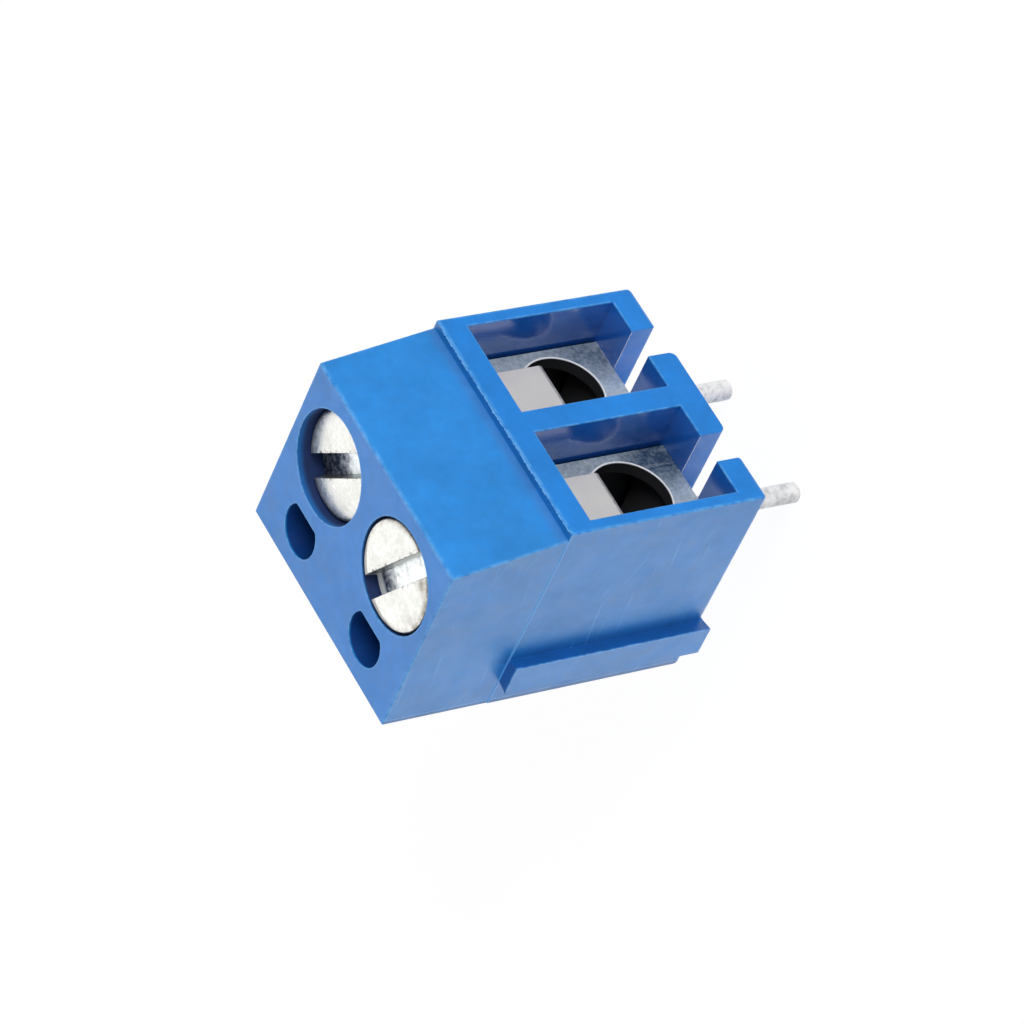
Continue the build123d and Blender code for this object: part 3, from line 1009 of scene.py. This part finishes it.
def screw_head(pole, head_top):
    """The face, and below its outline straight rings down to the underside, which shrinks to a pole.

    The whole head is turned by its slot's angle and lifted to its top.
    """
    face, marks = head_face(pole)
    rows, columns, _ = face.shape
    top = face.reshape(-1, 3)
    ring = np.concatenate([np.arange(rows) * columns, np.arange(rows - 2, 0, -1) * columns + columns - 1])
    outline = top[ring]
    levels = np.linspace(0, 1, HEAD_WALL_LEVELS + 1)[1:, None]
    wall = np.repeat(outline[None], HEAD_WALL_LEVELS, axis=0)
    wall[:, :, 2] = outline[None, :, 2] * (1 - levels) - HEAD_HEIGHT * levels
    shrink = np.array([HEAD_UNDERSIDE_RING, 0])[:, None, None]
    closing = np.repeat(outline[None], 2, axis=0) * shrink
    closing[:, :, 2] = -HEAD_HEIGHT
    loops = np.concatenate([outline[None], wall, closing])
    points = np.concatenate([top, loops.reshape(-1, 3)])
    faces = [
        grid_quads(rows, columns),
        grid_quads(len(loops), len(ring), closed=True, start=len(top)),
    ]
    marks = {
        label: np.concatenate([values.ravel(), np.tile(values.ravel()[ring], len(loops))])
        for label, values in marks.items()
    }
    angle = math.radians(SLOT_ANGLES[pole])
    turned = points.copy()
    turned[:, 0] = points[:, 0] * math.sin(angle) + points[:, 1] * math.cos(angle)
    turned[:, 1] = -points[:, 0] * math.cos(angle) + points[:, 1] * math.sin(angle)
    turned[:, 2] += head_top
    return turned, faces, marks


def screw_shank(tip, root, start):
    """The threaded shank: radius = crest less depth times a triangle wave of height / pitch - turn.

    That wave climbs one pitch for each turn anticlockwise seen from above, which is a right-hand
    thread. Near the tip the radius is held under a 45 degree chamfer, and both ends close at a pole.
    """
    rows, columns = THREAD_GRID
    height = np.linspace(tip, root, int((root - tip) / THREAD_PITCH * rows))
    turn = np.linspace(0, 1, columns, endpoint=False)
    z, t = np.meshgrid(height, turn, indexing="ij")
    wave = np.abs(((z / THREAD_PITCH - t) % 1) * 2 - 1)
    stretched = wave * (1 + 2 * THREAD_STRETCH) - THREAD_STRETCH
    radius = THREAD_RADIUS - THREAD_DEPTH * ease(stretched)
    radius = np.minimum(radius, THREAD_RADIUS - TIP_CHAMFER + (z - tip))
    ends = np.zeros_like(radius[:1])
    radius = np.concatenate([ends, radius, ends])
    z = np.concatenate([z[:1], z, z[-1:]])
    t = np.concatenate([t[:1], t, t[-1:]])
    angle = 2 * math.pi * t
    points = np.stack([radius * np.cos(angle), radius * np.sin(angle), z], axis=-1).reshape(-1, 3)
    return points, grid_quads(z.shape[0], z.shape[1], closed=True, start=start)


def driver_screw(pole, finish):
    """A slotted head and its threaded shank, in the place of the CAD screw."""
    node = f"clamp_screw_{pole}"
    low, high = low_high(node)
    head, faces, marks = screw_head(pole, high[2])
    shank, shank_faces = screw_shank(low[2], high[2] - HEAD_HEIGHT + SHANK_ROOT, len(head))
    points = np.concatenate([head, shank])
    points[:, 0] += (low[0] + high[0]) / 2
    points[:, 1] += (low[1] + high[1]) / 2
    plain = np.zeros(len(shank))
    marks = {label: np.concatenate([values, plain]) for label, values in marks.items()}
    piece = make_piece(f"driver_screw_{pole}", points, [*faces, shank_faces], finish, attributes=marks)
    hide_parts(node)
    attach(piece, f"screw_{pole}")


def guard_path(low, high):
    """The leaf's middle line as Y and Z: down the lip, round a quarter bend and back along the leaf.

    Close to both ends it steps as a quarter circle's height does, for the rounded edges there.
    """
    lip_y = low[1] + LEAF_THICKNESS / 2
    leaf_z = low[2] + LEAF_THICKNESS / 2
    quarter = np.linspace(0, math.pi / 2, LEAF_EDGE_POINTS)
    inset = LEAF_EDGE * (1 - np.cos(quarter))
    bend = np.linspace(0, math.pi / 2, BEND_POINTS)[1:]
    return np.concatenate([
        np.stack([np.full_like(inset, lip_y), high[2] - inset], axis=1),
        evenly((lip_y, high[2] - LEAF_EDGE), (lip_y, leaf_z + LEAF_BEND), LIP_POINTS),
        np.stack([
            lip_y + LEAF_BEND * (1 - np.cos(bend)),
            leaf_z + LEAF_BEND * (1 - np.sin(bend)),
        ], axis=1),
        evenly((lip_y + LEAF_BEND, leaf_z), (high[1] - LEAF_EDGE, leaf_z), LEAF_POINTS),
        np.stack([high[1] - inset[-2::-1], np.full_like(inset[1:], leaf_z)], axis=1),
    ])


def guard_sections(steps):
    """A rounded rectangle for each step of the path, as places across the leaf and through it.

    At both ends the section shrinks by LEAF_EDGE along a quarter circle, which rounds them.
    """
    half = LEAF_THICKNESS / 2
    quarter = np.linspace(0, math.pi / 2, LEAF_EDGE_POINTS)
    rounding = LEAF_EDGE * (1 - np.sin(quarter))
    shrink = np.zeros(steps)
    shrink[:LEAF_EDGE_POINTS] = rounding
    shrink[-LEAF_EDGE_POINTS:] = rounding[::-1]
    turns = np.concatenate([quarter + corner * math.pi / 2 for corner in range(4)])
    width_sign = np.repeat([1, -1, -1, 1], LEAF_EDGE_POINTS)
    thick_sign = np.repeat([1, 1, -1, -1], LEAF_EDGE_POINTS)
    across = width_sign * (LEAF_WIDTH / 2 - LEAF_EDGE) + LEAF_EDGE * np.cos(turns)
    through = thick_sign * (half - LEAF_EDGE) + LEAF_EDGE * np.sin(turns)
    across = across[None] - width_sign[None] * shrink[:, None]
    through = through[None] - thick_sign[None] * np.minimum(shrink, half - LEAF_EDGE)[:, None]
    return across, through


def guard_leaf(pole, finish):
    """The section carried along the path: across goes to X, and through goes along the path's normal."""
    node = f"wire_guard_{pole}"
    low, high = low_high(node)
    path = guard_path(low, high)
    tangent = np.gradient(path, axis=0)
    tangent /= np.linalg.norm(tangent, axis=1)[:, None]
    across, through = guard_sections(len(path))
    points = np.stack([
        (low[0] + high[0]) / 2 + across,
        path[:, None, 0] - tangent[:, None, 1] * through,
        path[:, None, 1] + tangent[:, None, 0] * through,
    ], axis=-1)
    ends = np.stack([points[0], points[-1]]).mean(axis=1, keepdims=True)
    caps = np.repeat(ends, points.shape[1], axis=1)
    points = np.concatenate([caps[:1], points, caps[1:]])
    faces = [grid_quads(points.shape[0], points.shape[1], closed=True)]
    # where the bend is painted in shade
    bend_shade = ease(1 - (points[:, :, 2] - low[2] - BEND_SHADE_FLAT) / BEND_SHADE_FADE)
    piece = make_piece(
        f"guard_leaf_{pole}", points.reshape(-1, 3), faces, finish, attributes={"bend_shade": bend_shade}
    )
    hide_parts(node)
    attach(piece, f"guard_{pole}")


def wire_hole_burr(pole, finish):
    """The punched hole's raised edge: a tube round an arc of a circle, thinning out to its two ends."""
    low, high = low_high(f"terminal_frame_{pole}")
    steps, sides = BURR_GRID
    share = np.linspace(0, 1, steps)
    sweep = np.radians(BURR_FROM + (BURR_TO - BURR_FROM) * share)
    tube = BURR_TUBE * np.sqrt(np.sin(math.pi * share).clip(0, BURR_TAPER) / BURR_TAPER)
    round_it = np.linspace(0, 2 * math.pi, sides, endpoint=False)
    out = BURR_RADIUS + tube[:, None] * np.cos(round_it)
    points = np.stack([
        (low[0] + high[0]) / 2 + out * np.cos(sweep)[:, None],
        PLATE_FRONT_Y - tube[:, None] * np.sin(round_it),
        WIRE_HOLE_HEIGHT + out * np.sin(sweep)[:, None],
    ], axis=-1)
    faces = [grid_quads(steps, sides, closed=True)]
    piece = make_piece(f"wire_hole_burr_{pole}", points.reshape(-1, 3), faces, finish, sharp=80.0)
    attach(piece, "housing")


def parting_flash(finish):
    """A ragged fin along the ledge: a diamond section whose height and inner side are ragged.

    The raggedness is the mean size of sines of random phase past FLASH_EVEN, and the fin fades
    at both ends.
    """
    place = np.linspace(-FLASH_HALF_LENGTH, FLASH_HALF_LENGTH, FLASH_POINTS)
    random = np.random.default_rng(FLASH_SEED)
    waves = np.array(FLASH_WAVES)
    phases = random.uniform(0, 2 * math.pi, len(waves))
    sines = np.abs(np.sin(place[:, None] * waves + phases)).mean(axis=1)
    ragged = np.clip(sines - FLASH_EVEN, 0, 1) * FLASH_RAGGED_GAIN
    ends = np.minimum(1, (FLASH_HALF_LENGTH - np.abs(place)) / FLASH_FADE)
    height = (FLASH_HEIGHT + FLASH_RAGGED_HEIGHT * ragged) * ends
    front = FRONT_Y + FLASH_SETBACK * (2 - ends)
    back = front + (FLASH_WIDTH + FLASH_RAGGED_WIDTH * ragged) * ends
    middle = (front + back) / 2
    level = np.full_like(place, LEDGE_HEIGHT)
    points = np.stack([
        np.stack([place, front, level], axis=1),
        np.stack([place, middle, level + height], axis=1),
        np.stack([place, back, level], axis=1),
        np.stack([place, middle, level - height / 2], axis=1),
    ], axis=1)
    faces = [grid_quads(len(place), 4, closed=True)]
    piece = make_piece("parting_flash", points.reshape(-1, 3), faces, finish)
    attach(piece, "housing")


# Surroundings

def ray_kinds(tree):
    """1 for rays straight from the camera, and 1 for rays off gloss or through glass."""
    path = tree.nodes.new("ShaderNodeLightPath").outputs
    return path["Is Camera Ray"], greatest(tree, path["Is Glossy Ray"], path["Is Transmission Ray"])


def floor():
    """A white floor: the camera and gloss see it lit, and diffuse light falls on it and keeps the shadow."""
    z = cad_box[0].z
    corners = [(x * FLOOR_HALF, y * FLOOR_HALF, z) for x, y in ((-1, -1), (1, -1), (1, 1), (-1, 1))]
    mesh = bpy.data.meshes.new("floor")
    mesh.from_pydata(corners, [], [(0, 1, 2, 3)])
    made = bpy.data.objects.new("floor", mesh)
    bpy.context.collection.objects.link(made)
    finish, tree, shader = material("white_floor")
    shader.inputs["Base Color"].default_value = FLOOR_WHITE
    shader.inputs["Roughness"].default_value = 0.9
    shader.inputs["Specular IOR Level"].default_value = 0
    place = axes(tree, coordinates(tree, "Object"))
    reflected = remap(tree, place["Y"], *FLOOR_REFLECTED_FADE, REFLECTED_FRONT, FLOOR_REFLECTED_BACK)
    by_camera, by_gloss = ray_kinds(tree)
    glow = tree.nodes.new("ShaderNodeEmission")
    feed(tree, glow.inputs["Strength"], blend_values(tree, by_gloss, FLOOR_GLOW_STRENGTH, reflected))
    mix = tree.nodes.new("ShaderNodeMixShader")
    feed(tree, mix.inputs[0], product(tree, greatest(tree, by_camera, by_gloss), FLOOR_GLOW))
    out = next(n for n in tree.nodes if n.type == "OUTPUT_MATERIAL")
    tree.links.new(shader.outputs["BSDF"], mix.inputs[1])
    tree.links.new(glow.outputs["Emission"], mix.inputs[2])
    tree.links.new(mix.outputs[0], out.inputs["Surface"])
    mesh.materials.append(finish)


def world():
    """White for the camera, plain soft light on the block, and for gloss dark in front and bright behind."""
    made = bpy.data.worlds.new("studio")
    made.use_nodes = True
    tree = made.node_tree
    back = tree.nodes["Background"]
    back.inputs["Color"].default_value = (1, 1, 1, 1)
    direction = axes(tree, coordinates(tree, "Generated"))
    reflected = remap(tree, direction["Y"], *REFLECTED_FADE, REFLECTED_FRONT, REFLECTED_BACK)
    by_camera, by_gloss = ray_kinds(tree)
    level = blend_values(tree, by_gloss, AMBIENT, reflected)
    feed(tree, back.inputs["Strength"], blend_values(tree, by_camera, level, 1.0))
    bpy.context.scene.world = made


camera()
world()
floor()
area_light("key", KEY_DIRECTION, KEY_DISTANCE, KEY_SIZE, KEY_WATTS)

blue = housing_plastic()
plate = frame_plating()
tin = pin_tin()
zinc = screw_zinc()
steel = guard_steel()

dress("housing", blue)
parting_flash(blue)
for pole in POLES:
    dress(f"terminal_frame_{pole}", plate)
    dress(f"solder_pin_{pole}", tin)
    driver_screw(pole, zinc)
    guard_leaf(pole, steel)
    wire_hole_burr(pole, plate)

bpy.context.scene.view_settings.view_transform = "Standard"
